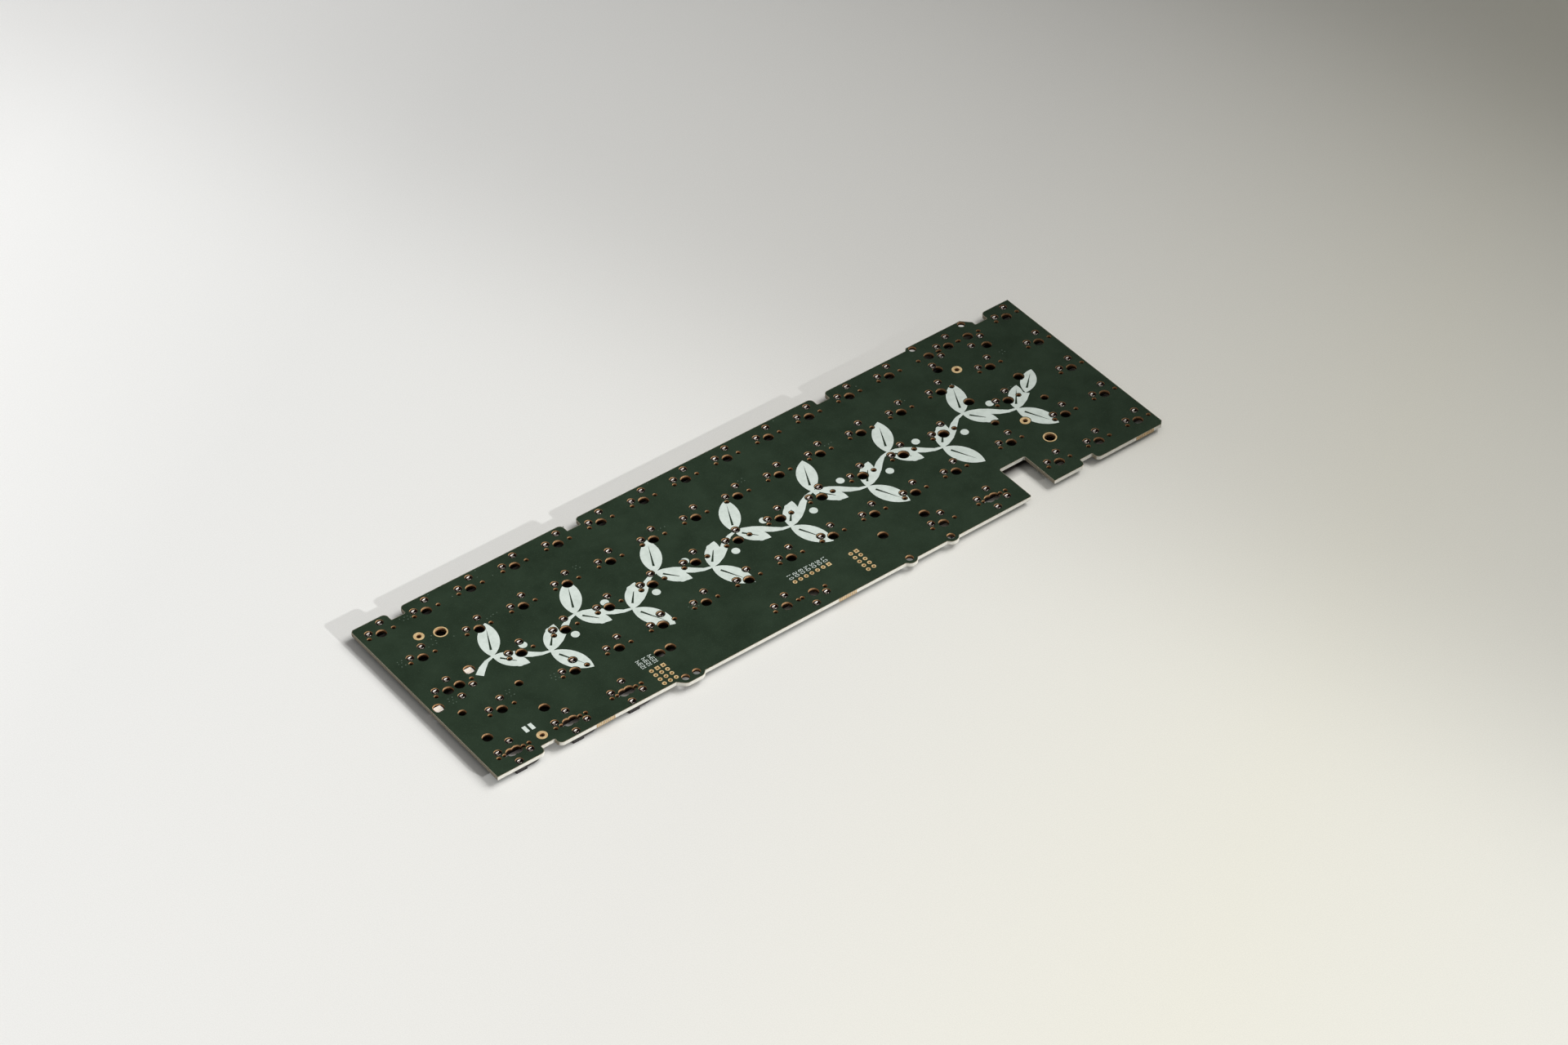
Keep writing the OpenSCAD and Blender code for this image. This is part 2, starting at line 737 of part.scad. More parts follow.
// Lead bent from a body's side down to the board and out to its toe
module gull_lead(body_x, toe_x, mid_z, wide) {
  heel_x = body_x + 0.35 * (toe_x - body_x);
  knee_x = heel_x - lead_t;
  rotate([90, 0, 0]) linear_extrude(wide, center = true) polygon([
    [body_x, mid_z], [heel_x, mid_z], [heel_x + lead_t, lead_t], [toe_x, lead_t],
    [toe_x, 0], [heel_x, 0], [knee_x + lead_t / 2, mid_z - lead_t], [body_x, mid_z - lead_t]
  ]);
}

// Moulded body with drafted ends along x, and a straight band where its leads come out
body_draft = 0.12;
module moulded_body(long, wide, high) {
  mid_z = standoff + high / 2;
  half = long / 2;
  rotate([90, 0, 0]) linear_extrude(wide, center = true) polygon([
    [-half + body_draft, standoff], [half - body_draft, standoff],
    [half, mid_z - lead_t], [half, mid_z],
    [half - body_draft, standoff + high], [-half + body_draft, standoff + high],
    [-half, mid_z], [-half, mid_z - lead_t]
  ]);
}

module diode_bodies(row) {
  color([0.12, 0.12, 0.13]) under_board() at_diodes(row) moulded_body(diode_l, diode_w, diode_h);
}

module diode_leads(row) {
  color([0.78, 0.79, 0.8]) under_board() at_diodes(row) {
    for (turn = [0, 180]) rotate(turn) {
      gull_lead(diode_l / 2, diode_span / 2, standoff + diode_h / 2, diode_lead_w);
    }
  }
}

// Controller: flat square body with leads on its four sides and a first-lead dimple
chip_mid_z = standoff + chip_h / 2;
dimple_d = 1.2;
dimple_depth = 0.1;
module chip_slab(z, shrink, high) {
  side = chip_side - 2 * shrink;
  translate([-side / 2, -side / 2, z]) cube([side, side, high]);
}

module controller_body() {
  skin = 0.01;
  inset = chip_side / 2 - dimple_d;
  color([0.12, 0.12, 0.13]) under_board() at(controller_place) difference() {
    hull() {
      chip_slab(standoff, body_draft, skin);
      chip_slab(chip_mid_z - lead_t, 0, lead_t);
      chip_slab(standoff + chip_h - skin, body_draft, skin);
    }
    translate([-inset, inset, standoff + chip_h - dimple_depth]) {
      cylinder(d = dimple_d, h = 2 * dimple_depth);
    }
  }
}

module controller_leads() {
  color([0.78, 0.79, 0.8]) under_board() at(controller_place) {
    for (turn = [0 : 90 : 270], i = [0 : chip_leads - 1]) rotate(turn) {
      translate([0, (i - (chip_leads - 1) / 2) * chip_lead_pitch, 0]) {
        gull_lead(chip_side / 2, chip_span / 2, chip_mid_z, chip_lead_w);
      }
    }
  }
}

// Crystal beside the controller
crystal_shift = [-(chip_span / 2 + crystal_size.x), 0];
module crystal_base() {
  color([0.75, 0.7, 0.6]) under_board() at(controller_place) translate(crystal_shift) {
    translate([-crystal_size.x / 2, -crystal_size.y / 2, 0]) cube(crystal_size);
  }
}

module crystal_lid() {
  lid = [crystal_size.x - 2 * crystal_rim, crystal_size.y - 2 * crystal_rim, crystal_lid_h];
  color([0.8, 0.8, 0.78]) under_board() at(controller_place) translate(crystal_shift) {
    translate([-lid.x / 2, -lid.y / 2, crystal_size.z]) cube(lid);
  }
}

// Small chips with leads on their two long sides
module small_body(place) {
  color([0.12, 0.12, 0.13]) under_board() at(place) moulded_body(sot_w, sot_l, sot_h);
}

module small_leads(place, left, right) {
  color([0.78, 0.79, 0.8]) under_board() at(place) {
    for (y = left) rotate(180) translate([0, y * sot_pitch, 0]) {
      gull_lead(sot_w / 2, sot_span / 2, standoff + sot_h / 2, sot_lead_w);
    }
    for (y = right) translate([0, y * sot_pitch, 0]) {
      gull_lead(sot_w / 2, sot_span / 2, standoff + sot_h / 2, sot_lead_w);
    }
  }
}

// Chip parts: a body between two end caps
module chip_middle(size) {
  translate([-size.x / 2 + end_cap_l, -size.y / 2, 0]) cube([size.x - 2 * end_cap_l, size.y, size.z]);
}

module chip_ends(size) {
  for (x = [-size.x / 2, size.x / 2 - end_cap_l]) {
    translate([x, -size.y / 2, 0]) cube([end_cap_l, size.y, size.z]);
  }
}

module fuse_body() {
  color([0.35, 0.45, 0.35]) under_board() at(fuse_place) rotate(90) chip_middle(fuse_size);
}

module fuse_ends() {
  color([0.78, 0.79, 0.8]) under_board() at(fuse_place) rotate(90) chip_ends(fuse_size);
}

// Capacitors beside the controller's corners and the crystal; resistors in a row behind it
part_gap = 1.4;
chip_edge = chip_span / 2 + part_gap;
capacitor_turns = [0, 90, 180, 270];
crystal_caps = [-1, 1];
resistor_count = 6;
resistor_step = 2.2;
module at_capacitors() {
  at(controller_place) {
    for (turn = capacitor_turns) rotate(turn) translate([chip_edge, chip_side / 4]) rotate(90) children();
    for (side = crystal_caps) {
      translate(crystal_shift + [0, side * (crystal_size.y / 2 + part_gap)]) children();
    }
  }
}

module at_resistors() {
  at(controller_place) for (i = [0 : resistor_count - 1]) {
    translate([chip_edge + 2 * part_gap, (i - (resistor_count - 1) / 2) * resistor_step]) children();
  }
}

module capacitor_bodies() {
  color([0.6, 0.48, 0.35]) under_board() at_capacitors() chip_middle(capacitor_size);
}

module capacitor_ends() {
  color([0.78, 0.79, 0.8]) under_board() at_capacitors() chip_ends(capacitor_size);
}

module resistor_bodies() {
  color([0.1, 0.1, 0.11]) under_board() at_resistors() chip_middle(resistor_size);
}

module resistor_ends() {
  color([0.78, 0.79, 0.8]) under_board() at_resistors() chip_ends(resistor_size);
}

// Low connector for the cable, open towards the back edge
connector_w = (connector_ways - 1) * connector_pitch + 2 * connector_end;
connector_hollow_w = connector_w - 2 * connector_wall - connector_end;
hold_down_l = 1.6;
hold_down_w = 0.9;
pin_tail = 1;
module connector_housing() {
  hollow = [connector_hollow_w, connector_depth - connector_wall, connector_h - 2 * connector_wall];
  slot_w = connector_pin_w + 2 * cup_play;
  color([0.93, 0.91, 0.86]) under_board() at(connector_place) difference() {
    translate([-connector_w / 2, -connector_depth / 2, 0]) {
      cube([connector_w, connector_depth, connector_h]);
    }
    translate([-hollow.x / 2, -connector_depth / 2 + connector_wall, connector_wall]) {
      cube([hollow.x, connector_depth, hollow.z]);
    }
    for (i = [0 : connector_ways - 1]) {
      translate([(i - (connector_ways - 1) / 2) * connector_pitch - slot_w / 2, 0, 0]) {
        translate([0, -connector_depth, 0]) cube([slot_w, connector_depth, connector_h / 2 + lead_t]);
      }
    }
  }
}

module connector_pins() {
  rear_y = -connector_depth / 2;
  tip_y = connector_depth / 4;
  color([0.85, 0.76, 0.5]) under_board() at(connector_place) {
    for (i = [0 : connector_ways - 1]) {
      translate([(i - (connector_ways - 1) / 2) * connector_pitch, 0, 0]) rotate([90, 0, 90]) {
        linear_extrude(connector_pin_w, center = true) polygon([
          [tip_y, connector_h / 2], [tip_y, connector_h / 2 + lead_t],
          [rear_y - lead_t, connector_h / 2 + lead_t], [rear_y - lead_t, lead_t],
          [rear_y - pin_tail, lead_t], [rear_y - pin_tail, 0],
          [rear_y, 0], [rear_y, connector_h / 2]
        ]);
      }
    }
  }
}

module connector_hold_downs() {
  color([0.78, 0.79, 0.8]) under_board() at(connector_place) {
    for (side = [0, 180]) rotate(side) translate([connector_w / 2, 0, 0]) {
      rotate([90, 0, 0]) linear_extrude(hold_down_l, center = true) polygon([
        [0, 0], [hold_down_w, 0], [hold_down_w, lead_t],
        [lead_t, lead_t], [lead_t, connector_h / 2], [0, connector_h / 2]
      ]);
    }
  }
}

// Lamps that shine up through their holes, soldered to the underside by two leads
lamp_high = lamp_under + board_t - lamp_recess;
module at_lamps(z) {
  in_frame(z) for (p = lamp_places) at(p) children();
}

module lamp_bodies() {
  color([0.9, 0.88, 0.8]) at_lamps(board_z - lamp_under) difference() {
    translate([-lamp_l / 2, -lamp_w / 2, 0]) cube([lamp_l, lamp_w, lamp_high]);
    translate([0, 0, lamp_high - lamp_window_t]) cylinder(d = lamp_window_d, h = lamp_high);
  }
}

module lamp_lenses() {
  color([0.95, 0.9, 0.6]) at_lamps(board_top - lamp_recess - lamp_window_t) {
    cylinder(d = lamp_window_d - 2 * cup_play, h = lamp_window_t);
  }
}

module lamp_leads() {
  color([0.78, 0.79, 0.8]) at_lamps(board_z - lead_t) for (turn = [90, 270]) rotate(turn) {
    translate([lamp_w / 2, -lamp_lead_w / 2, 0]) cube([(lamp_span - lamp_w) / 2, lamp_lead_w, lead_t]);
  }
}

circuit_board();
vine_print();
mark_bars();
small_mount_rings();
large_mount_rings();
header_pads(left_header);  // left_header_pads
header_pads(middle_header);  // middle_header_pads
header_pads(right_header);  // right_header_pads
sockets(0);  // sockets_row_1
sockets(1);  // sockets_row_2
sockets(2);  // sockets_row_3
sockets(3);  // sockets_row_4
sockets(4);  // sockets_row_5
socket_contacts(0);  // socket_contacts_row_1
socket_contacts(1);  // socket_contacts_row_2
socket_contacts(2);  // socket_contacts_row_3
socket_contacts(3);  // socket_contacts_row_4
socket_contacts(4);  // socket_contacts_row_5
diode_bodies(0);  // diode_bodies_row_1
diode_bodies(1);  // diode_bodies_row_2
diode_bodies(2);  // diode_bodies_row_3
diode_bodies(3);  // diode_bodies_row_4
diode_bodies(4);  // diode_bodies_row_5
diode_leads(0);  // diode_leads_row_1
diode_leads(1);  // diode_leads_row_2
diode_leads(2);  // diode_leads_row_3
diode_leads(3);  // diode_leads_row_4
diode_leads(4);  // diode_leads_row_5
controller_body();
controller_leads();
crystal_base();
crystal_lid();
small_body(regulator_place);  // regulator_body
small_leads(regulator_place, [0], [-1, 1]);  // regulator_leads
small_body(surge_chip_place);  // surge_chip_body
small_leads(surge_chip_place, [-1, 0, 1], [-1, 0, 1]);  // surge_chip_leads
fuse_body();
fuse_ends();
capacitor_bodies();
capacitor_ends();
resistor_bodies();
resistor_ends();
connector_housing();
connector_pins();
connector_hold_downs();
lamp_bodies();
lamp_lenses();
lamp_leads();
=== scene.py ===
import json

import bpy
import numpy as np
from mathutils import Matrix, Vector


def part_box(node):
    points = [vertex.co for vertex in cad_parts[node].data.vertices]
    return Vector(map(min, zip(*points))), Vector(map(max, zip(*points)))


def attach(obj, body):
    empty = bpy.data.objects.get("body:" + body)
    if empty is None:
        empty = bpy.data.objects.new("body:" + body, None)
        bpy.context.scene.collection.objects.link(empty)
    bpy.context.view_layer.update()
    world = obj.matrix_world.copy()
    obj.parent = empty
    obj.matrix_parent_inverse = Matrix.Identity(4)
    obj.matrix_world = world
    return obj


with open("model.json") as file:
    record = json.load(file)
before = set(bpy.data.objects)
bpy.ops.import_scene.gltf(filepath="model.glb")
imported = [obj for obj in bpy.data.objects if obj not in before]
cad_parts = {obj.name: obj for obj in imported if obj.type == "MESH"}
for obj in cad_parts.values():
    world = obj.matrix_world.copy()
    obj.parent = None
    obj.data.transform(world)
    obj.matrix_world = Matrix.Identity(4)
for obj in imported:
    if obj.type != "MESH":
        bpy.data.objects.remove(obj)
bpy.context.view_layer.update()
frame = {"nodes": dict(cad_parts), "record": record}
nodes = frame["nodes"]
mm = 0.001
boardLow, boardHigh = (np.array(corner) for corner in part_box("circuit_board"))
topZ, underZ = boardHigh[2], boardLow[2]
print("frame loaded:", len(nodes), "nodes")

# the key field: places in key units from its left edge and from the back row's centre line
keyField = {
    "pitch": 19.05 * mm,
    "pinGrid": 1.27 * mm,
    "pins": [[-3, 2], [2, 4]],  # both pins in grid steps from the switch's middle
    "leftInset": 1.3 * mm,  # board edge inside the field
    "backReach": 8.875 * mm,  # tab's edge behind the back row's centre line
    "upright": [
        np.r_[np.arange(0.5, 13), 14, 15.5],
        np.r_[0.75, np.arange(2, 14), 14.25, 15.5],
        np.r_[0.625, np.arange(2.25, 13), 13.875, 15.5],
        np.r_[1.125, np.arange(2.75, 12.5), 13.125, 14.5, 15.5],
        np.r_[0.625, 1.875, 3.125, 6.875, 10.625, 11.75, 13.5, 14.5, 15.5],
    ],
    "turned": [[13.5, 14.5], [], [0.875], [], [0.75, 2, 3.25, 7.5, 11.875]],
}
fieldCorner = np.array([boardLow[0] - keyField["leftInset"], boardHigh[1] - keyField["backReach"]])


def onField(places):  # places in mm from the field's corner, as metres in the frame
    return fieldCorner + np.asarray(places, float) * mm


def keyPlaces():  # one row per switch place: x, y in metres and +1, or -1 where it is turned round
    rows = []
    for row, (upright, turned) in enumerate(zip(keyField["upright"], keyField["turned"])):
        for units, way in ((upright, 1), (turned, -1)):
            units = np.asarray(units, float)
            rows.append(np.c_[units, np.full(len(units), -row), np.full(len(units), way)])
    table = np.concatenate(rows)
    table[:, :2] = fieldCorner + table[:, :2] * keyField["pitch"]
    return table


def pinPlaces():  # both pin holes of every switch place
    keys = keyPlaces()
    pins = np.array(keyField["pins"]) * keyField["pinGrid"]
    return (keys[:, None, :2] + keys[:, None, 2:] * pins[None]).reshape(-1, 2)


# mesh helpers

def meshCorners(mesh):  # all points, first point at each place, each point's place, each triangle's places
    co = np.empty(len(mesh.vertices) * 3)
    mesh.vertices.foreach_get("co", co)
    co = co.reshape(-1, 3)
    loops = np.empty(len(mesh.loops), int)
    mesh.loops.foreach_get("vertex_index", loops)
    _, first, same = np.unique(np.round(co / mm, 4), axis=0, return_index=True, return_inverse=True)
    same = same.ravel()
    return co, first, same, same[loops].reshape(-1, 3)


def looseParts(links, count):  # the lowest number in each joined part, spread along the links
    group = np.arange(count)
    while True:
        lowest = group[links].min(1)
        before = group.copy()
        for column in links.T:
            np.minimum.at(group, column, lowest)
        group = group[group]
        if (group == before).all():
            return group


def gridFaces(rows, columns, closed=False):  # quads of a grid, closed round its columns if asked
    first = np.arange(rows - 1)[:, None] * columns
    c = np.arange(columns if closed else columns - 1)[None]
    after = (c + 1) % columns
    second = first + columns
    return np.stack([first + c, first + after, second + after, second + c], -1).reshape(-1, 4)


def repeated(faces, pointCount, copies):  # the same faces for each of many copies that lie one after another
    return (faces[None] + (np.arange(copies) * pointCount)[:, None, None]).reshape(-1, faces.shape[1])


# a mesh object of the given points and faces, which rides the root
def putPiece(name, points, faces, material, smooth=True, levels=None):
    mesh = bpy.data.meshes.new(name)
    points = np.asarray(points, float).reshape(-1, 3)
    mesh.from_pydata(points.tolist(), [], [list(f) for f in np.asarray(faces).tolist()])
    if levels is not None:  # a number per point that its material reads
        layer = mesh.attributes.new("level", "FLOAT", "POINT")
        layer.data.foreach_set("value", np.asarray(levels, np.float32).ravel())
    mesh.polygons.foreach_set("use_smooth", np.full(len(mesh.polygons), smooth))
    mesh.materials.append(material)
    mesh.update()
    piece = bpy.data.objects.new(name, mesh)
    bpy.context.collection.objects.link(piece)
    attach(piece, "root")
    print("piece", name, len(mesh.vertices), "points")
    return piece


# material helpers

def paint(red, green, blue):  # a display colour of 0 to 255 as the linear colour that shaders take
    c = np.array([red, green, blue]) / 255
    linear = np.where(c <= 0.04045, c / 12.92, ((c + 0.055) / 1.055) ** 2.4)
    return (*linear.tolist(), 1.0)


def newSurface(name, colour, roughness, **sockets):  # a plain material, its tree, its shader and coordinates
    material = bpy.data.materials.new(name)
    material.use_nodes = True
    material.diffuse_color = colour
    tree = material.node_tree
    body = tree.nodes["Principled BSDF"]
    body.inputs["Base Color"].default_value = colour
    body.inputs["Roughness"].default_value = roughness
    for socket, value in sockets.items():
        body.inputs[socket.replace("_", " ")].default_value = value
    coords = tree.nodes.new("ShaderNodeTexCoord").outputs["Object"]
    return material, tree, body, coords


def noiseOf(tree, coords, scale, detail=3.0, rough=0.5):  # scale in lumps per metre
    node = tree.nodes.new("ShaderNodeTexNoise")
    node.inputs["Scale"].default_value = scale
    node.inputs["Detail"].default_value = detail
    node.inputs["Roughness"].default_value = rough
    tree.links.new(coords, node.inputs["Vector"])
    return node.outputs["Fac"]


def stretched(tree, coords, scale):  # the coordinates stretched by a factor for each axis
    node = tree.nodes.new("ShaderNodeMapping")
    node.inputs["Scale"].default_value = scale
    tree.links.new(coords, node.inputs["Vector"])
    return node.outputs["Vector"]


def rampOf(tree, level, stops):  # stops are (place, colour) pairs
    node = tree.nodes.new("ShaderNodeValToRGB")
    band = node.color_ramp
    while len(band.elements) < len(stops):
        band.elements.new(0.5)
    for element, (place, colour) in zip(band.elements, stops):
        element.position = place
        element.color = colour
    tree.links.new(level, node.inputs["Fac"])
    return node.outputs["Color"]


def spanOf(tree, level, low, high, fromLow=0.3, fromHigh=0.7):  # a level carried to a range of numbers
    node = tree.nodes.new("ShaderNodeMapRange")
    for socket, value in zip(("From Min", "From Max", "To Min", "To Max"), (fromLow, fromHigh, low, high)):
        node.inputs[socket].default_value = value
    tree.links.new(level, node.inputs["Value"])
    return node.outputs["Result"]


def mathOf(tree, operation, first, second=None):  # one sum on numbers or sockets
    node = tree.nodes.new("ShaderNodeMath")
    node.operation = operation
    for socket, value in zip(node.inputs, (first, second)):
        if value is None:
            continue
        if isinstance(value, (int, float)):
            socket.default_value = value
        else:
            tree.links.new(value, socket)
    return node.outputs[0]


def mixOf(tree, share, first, second):  # two colours mixed by a share
    node = tree.nodes.new("ShaderNodeMix")
    node.data_type = "RGBA"
    for socket, value in ((node.inputs[0], share), (node.inputs[6], first), (node.inputs[7], second)):
        if isinstance(value, (tuple, float, int)):
            socket.default_value = value
        else:
            tree.links.new(value, socket)
    return node.outputs[2]


def bumpOf(tree, body, height, distance):  # relief of the given height in metres
    node = tree.nodes.new("ShaderNodeBump")
    node.inputs["Strength"].default_value = 1.0
    node.inputs["Distance"].default_value = distance
    tree.links.new(height, node.inputs["Height"])
    tree.links.new(node.outputs["Normal"], body.inputs["Normal"])


def partOf(tree, vector, axis):  # one axis of a vector
    split = tree.nodes.new("ShaderNodeSeparateXYZ")
    tree.links.new(vector, split.inputs["Vector"])
    return split.outputs[axis]


def facingOf(tree, axis):  # how far a face's normal lies along an axis, either way
    geometry = tree.nodes.new("ShaderNodeNewGeometry")
    return mathOf(tree, "ABSOLUTE", partOf(tree, geometry.outputs["True Normal"], axis))


def levelOf(tree):  # the number that putPiece keeps with each point
    node = tree.nodes.new("ShaderNodeAttribute")
    node.attribute_name = "level"
    return node.outputs["Fac"]


# finishes

maskLook = {
    "dark": paint(35, 48, 35), "fair": paint(44, 58, 44), "speck": paint(60, 76, 61),
    "wallDark": paint(130, 92, 64), "wallFair": paint(200, 157, 113), "wallPale": paint(230, 195, 153),
    "wallShade": paint(38, 26, 20), "wallShadeDepth": 0.74 * mm,  # painted shade: the drilled wall darkens below this depth
    "rough": (0.5, 0.64), "gloss": 0.05, "peel": 0.006 * mm,
    "clouds": 90, "specks": 2600, "drillMarks": 1500, "patches": 320, "peelGrain": 1700,  # lumps per metre
}


def maskSurface():  # green mask on the faces; the drilled walls show the cut board in tan and copper, with painted shade deeper in each hole
    look = maskLook
    gloss = {"Specular_IOR_Level": look["gloss"]}
    material, tree, body, coords = newSurface("greenMask", look["fair"], 0.5, **gloss)
    clouds = noiseOf(tree, coords, look["clouds"], 4, 0.6)
    cloudy = rampOf(tree, clouds, [(0.32, look["dark"]), (0.68, look["fair"])])
    specks = spanOf(tree, noiseOf(tree, coords, look["specks"], 1, 0.4), 0.0, 0.55, 0.6, 0.78)
    green = mixOf(tree, specks, cloudy, look["speck"])
    wall = mathOf(tree, "LESS_THAN", facingOf(tree, "Z"), 0.5)
    flatter = stretched(tree, coords, (1, 1, 4))  # so that the drill's marks run round the hole
    drill = noiseOf(tree, flatter, look["drillMarks"], 3, 0.6)
    tan = rampOf(tree, drill, [(0.3, look["wallDark"]), (0.52, look["wallFair"]), (0.75, look["wallPale"])])
    # painted shade: below the depth that light reaches, the drilled wall turns dark
    depth = mathOf(tree, "SUBTRACT", float(topZ), partOf(tree, coords, "Z"))
    deep = spanOf(tree, depth, 0.0, 0.92, 0.6 * look["wallShadeDepth"], 1.4 * look["wallShadeDepth"])
    drilled = mixOf(tree, deep, tan, look["wallShade"])
    tree.links.new(mixOf(tree, wall, green, drilled), body.inputs["Base Color"])
    patchy = spanOf(tree, noiseOf(tree, coords, look["patches"], 3), *look["rough"])
    tree.links.new(patchy, body.inputs["Roughness"])
    bumpOf(tree, body, noiseOf(tree, coords, look["peelGrain"], 2, 0.5), look["peel"])
    return material


inkLook = {
    "pale": paint(216, 226, 219), "worn": paint(202, 213, 205), "pit": paint(128, 144, 134),
    "clouds": 420, "pits": 3800, "patches": 900, "meshMarks": 2400, "relief": 0.008 * mm,
}


def inkSurface():  # screen-printed ink: even, with fine mesh marks and a few pinholes
    look = inkLook
    material, tree, body, coords = newSurface("whiteInk", look["pale"], 0.6, Specular_IOR_Level=0.25)
    clouds = noiseOf(tree, coords, look["clouds"], 4, 0.6)
    cloudy = rampOf(tree, clouds, [(0.3, look["worn"]), (0.6, look["pale"])])
    pits = spanOf(tree, noiseOf(tree, coords, look["pits"], 1, 0.4), 0.0, 0.8, 0.7, 0.82)
    tree.links.new(mixOf(tree, pits, cloudy, look["pit"]), body.inputs["Base Color"])
    tree.links.new(spanOf(tree, noiseOf(tree, coords, look["patches"]), 0.5, 0.7), body.inputs["Roughness"])
    bumpOf(tree, body, noiseOf(tree, coords, look["meshMarks"], 2), look["relief"])
    return material


# plated or tinned metal, clouded at the scale's lumps per metre
def metalSurface(name, dark, fair, rough, scale, metallic=1.0, relief=0.004 * mm):
    material, tree, body, coords = newSurface(name, fair, rough, Metallic=metallic)
    cloudy = rampOf(tree, noiseOf(tree, coords, scale, 4, 0.6), [(0.3, dark), (0.62, fair)])
    tree.links.new(cloudy, body.inputs["Base Color"])
    patchy = spanOf(tree, noiseOf(tree, coords, scale * 3), 0.7 * rough, 1.35 * rough)
    tree.links.new(patchy, body.inputs["Roughness"])
    bumpOf(tree, body, noiseOf(tree, coords, scale * 5, 2), relief)
    return material


# moulded plastic or ceramic, clouded at the scale's lumps per metre
def mouldedSurface(name, dark, fair, rough, scale, gloss=0.35, relief=0.006 * mm):
    material, tree, body, coords = newSurface(name, fair, rough, Specular_IOR_Level=gloss)
    cloud = noiseOf(tree, coords, scale, 4, 0.6)
    tree.links.new(rampOf(tree, cloud, [(0.3, dark), (0.7, fair)]), body.inputs["Base Color"])
    patchy = spanOf(tree, noiseOf(tree, coords, scale * 2), 0.85 * rough, 1.15 * rough)
    tree.links.new(patchy, body.inputs["Roughness"])
    bumpOf(tree, body, noiseOf(tree, coords, scale * 6, 2), relief)
    return material


contactLook = {
    "tin": paint(246, 243, 240), "tinDark": paint(212, 205, 198),
    "holeShade": paint(92, 58, 46), "holeShadeDark": paint(40, 26, 22),
    "turn": 0.1 * mm,  # above the board's underside by this the metal is darkened with painted shade
    "clouds": 900, "patches": 2700, "grain": 4500, "relief": 0.004 * mm,
}


def contactSurface():  # bright tin under the board; inside its holes the metal is painted dark brown as shade
    look = contactLook
    material, tree, body, coords = newSurface("socketContact", look["tin"], 0.26, Metallic=1.0)
    cloud = noiseOf(tree, coords, look["clouds"], 4, 0.6)
    bright = rampOf(tree, cloud, [(0.3, look["tinDark"]), (0.62, look["tin"])])
    # painted shade: the metal inside the holes is painted dark brown
    shadedMetal = rampOf(tree, cloud, [(0.35, look["holeShadeDark"]), (0.65, look["holeShade"])])
    shine = spanOf(tree, partOf(tree, coords, "Z"), 0.0, 1.0, float(underZ + look["turn"]), float(underZ))
    tree.links.new(mixOf(tree, shine, shadedMetal, bright), body.inputs["Base Color"])
    tree.links.new(spanOf(tree, noiseOf(tree, coords, look["patches"]), 0.2, 0.36), body.inputs["Roughness"])
    bumpOf(tree, body, noiseOf(tree, coords, look["grain"], 2), look["relief"])
    return material


coreLook = {
    "layers": [(0.3, paint(186, 182, 169)), (0.5, paint(204, 202, 193)), (0.72, paint(218, 216, 210))],
    "lip": paint(120, 112, 84),
    "endTone": paint(124, 110, 84), "endToneShare": 0.75,  # the two ends, whose faces look along x, are browner
    "waves": 60.0, "waveShare": 0.06, "fibres": 2600, "relief": 0.02 * mm,
}


def coreSurface():  # glass-fibre core at the cut edge: cream layers with a darker line at each face
    look = coreLook
    material, tree, body, coords = newSurface("fibreCore", paint(226, 222, 200), 0.6, Specular_IOR_Level=0.3)
    height = levelOf(tree)  # 0 at the underside, 1 at the top
    wave = mathOf(tree, "SINE", mathOf(tree, "MULTIPLY", height, look["waves"]))
    fibres = noiseOf(tree, stretched(tree, coords, (0.25, 0.25, 3)), look["fibres"], 3, 0.6)
    layered = mathOf(tree, "ADD", mathOf(tree, "MULTIPLY", wave, look["waveShare"]), fibres)
    cream = rampOf(tree, layered, look["layers"])
    fromMiddle = mathOf(tree, "ABSOLUTE", mathOf(tree, "SUBTRACT", height, 0.5))
    lip = spanOf(tree, fromMiddle, 0.0, 0.75, 0.44, 0.5)
    ends = mathOf(tree, "GREATER_THAN", facingOf(tree, "X"), 0.9)
    cream = mixOf(tree, mathOf(tree, "MULTIPLY", ends, look["endToneShare"]), cream, look["endTone"])
    tree.links.new(mixOf(tree, lip, cream, look["lip"]), body.inputs["Base Color"])
    bumpOf(tree, body, layered, look["relief"])
    return material


surfaces = {
    "solder_mask": maskSurface(),
    "white_ink": inkSurface(),
    "gold_plating": metalSurface("paleGold", paint(200, 166, 114), paint(232, 204, 154), 0.36, 700, 0.25),
    "socket_nylon": mouldedSurface("blackNylon", paint(20, 18, 18), paint(38, 35, 35), 0.5, 900),
    "contact_metal": contactSurface(),
    "tinned_lead": metalSurface("tinnedLead", paint(168, 168, 166), paint(214, 214, 212), 0.28, 1100),
    "chip_epoxy": mouldedSurface(
        "chipEpoxy", paint(26, 26, 28), paint(42, 42, 45), 0.55, 2200, 0.3, 0.01 * mm),
    "crystal_steel": metalSurface("crystalSteel", paint(176, 172, 164), paint(222, 219, 212), 0.3, 1600),
    "ceramic_base": mouldedSurface("ceramicBase", paint(170, 158, 132), paint(206, 196, 170), 0.6, 1800),
    "fuse_body": mouldedSurface("fusePolymer", paint(66, 92, 70), paint(96, 124, 98), 0.5, 1600),
    "capacitor_ceramic": mouldedSurface(
        "capacitorCeramic", paint(132, 100, 70), paint(168, 134, 100), 0.5, 2400),
    "resistor_film": mouldedSurface("resistorGlaze", paint(16, 16, 18), paint(30, 30, 33), 0.3, 2000, 0.5),
    "connector_nylon": mouldedSurface("creamNylon", paint(214, 208, 190), paint(236, 231, 216), 0.45, 900),
    "lamp_body": mouldedSurface("lampResin", paint(232, 224, 214), paint(248, 243, 238), 0.35, 1200),
    "lamp_lens": mouldedSurface("lampLens", paint(236, 222, 206), paint(250, 240, 228), 0.2, 1500, 0.5),
}
slotOf = {row["node"]: row["material_slot"] for row in frame["record"]["subparts"]}
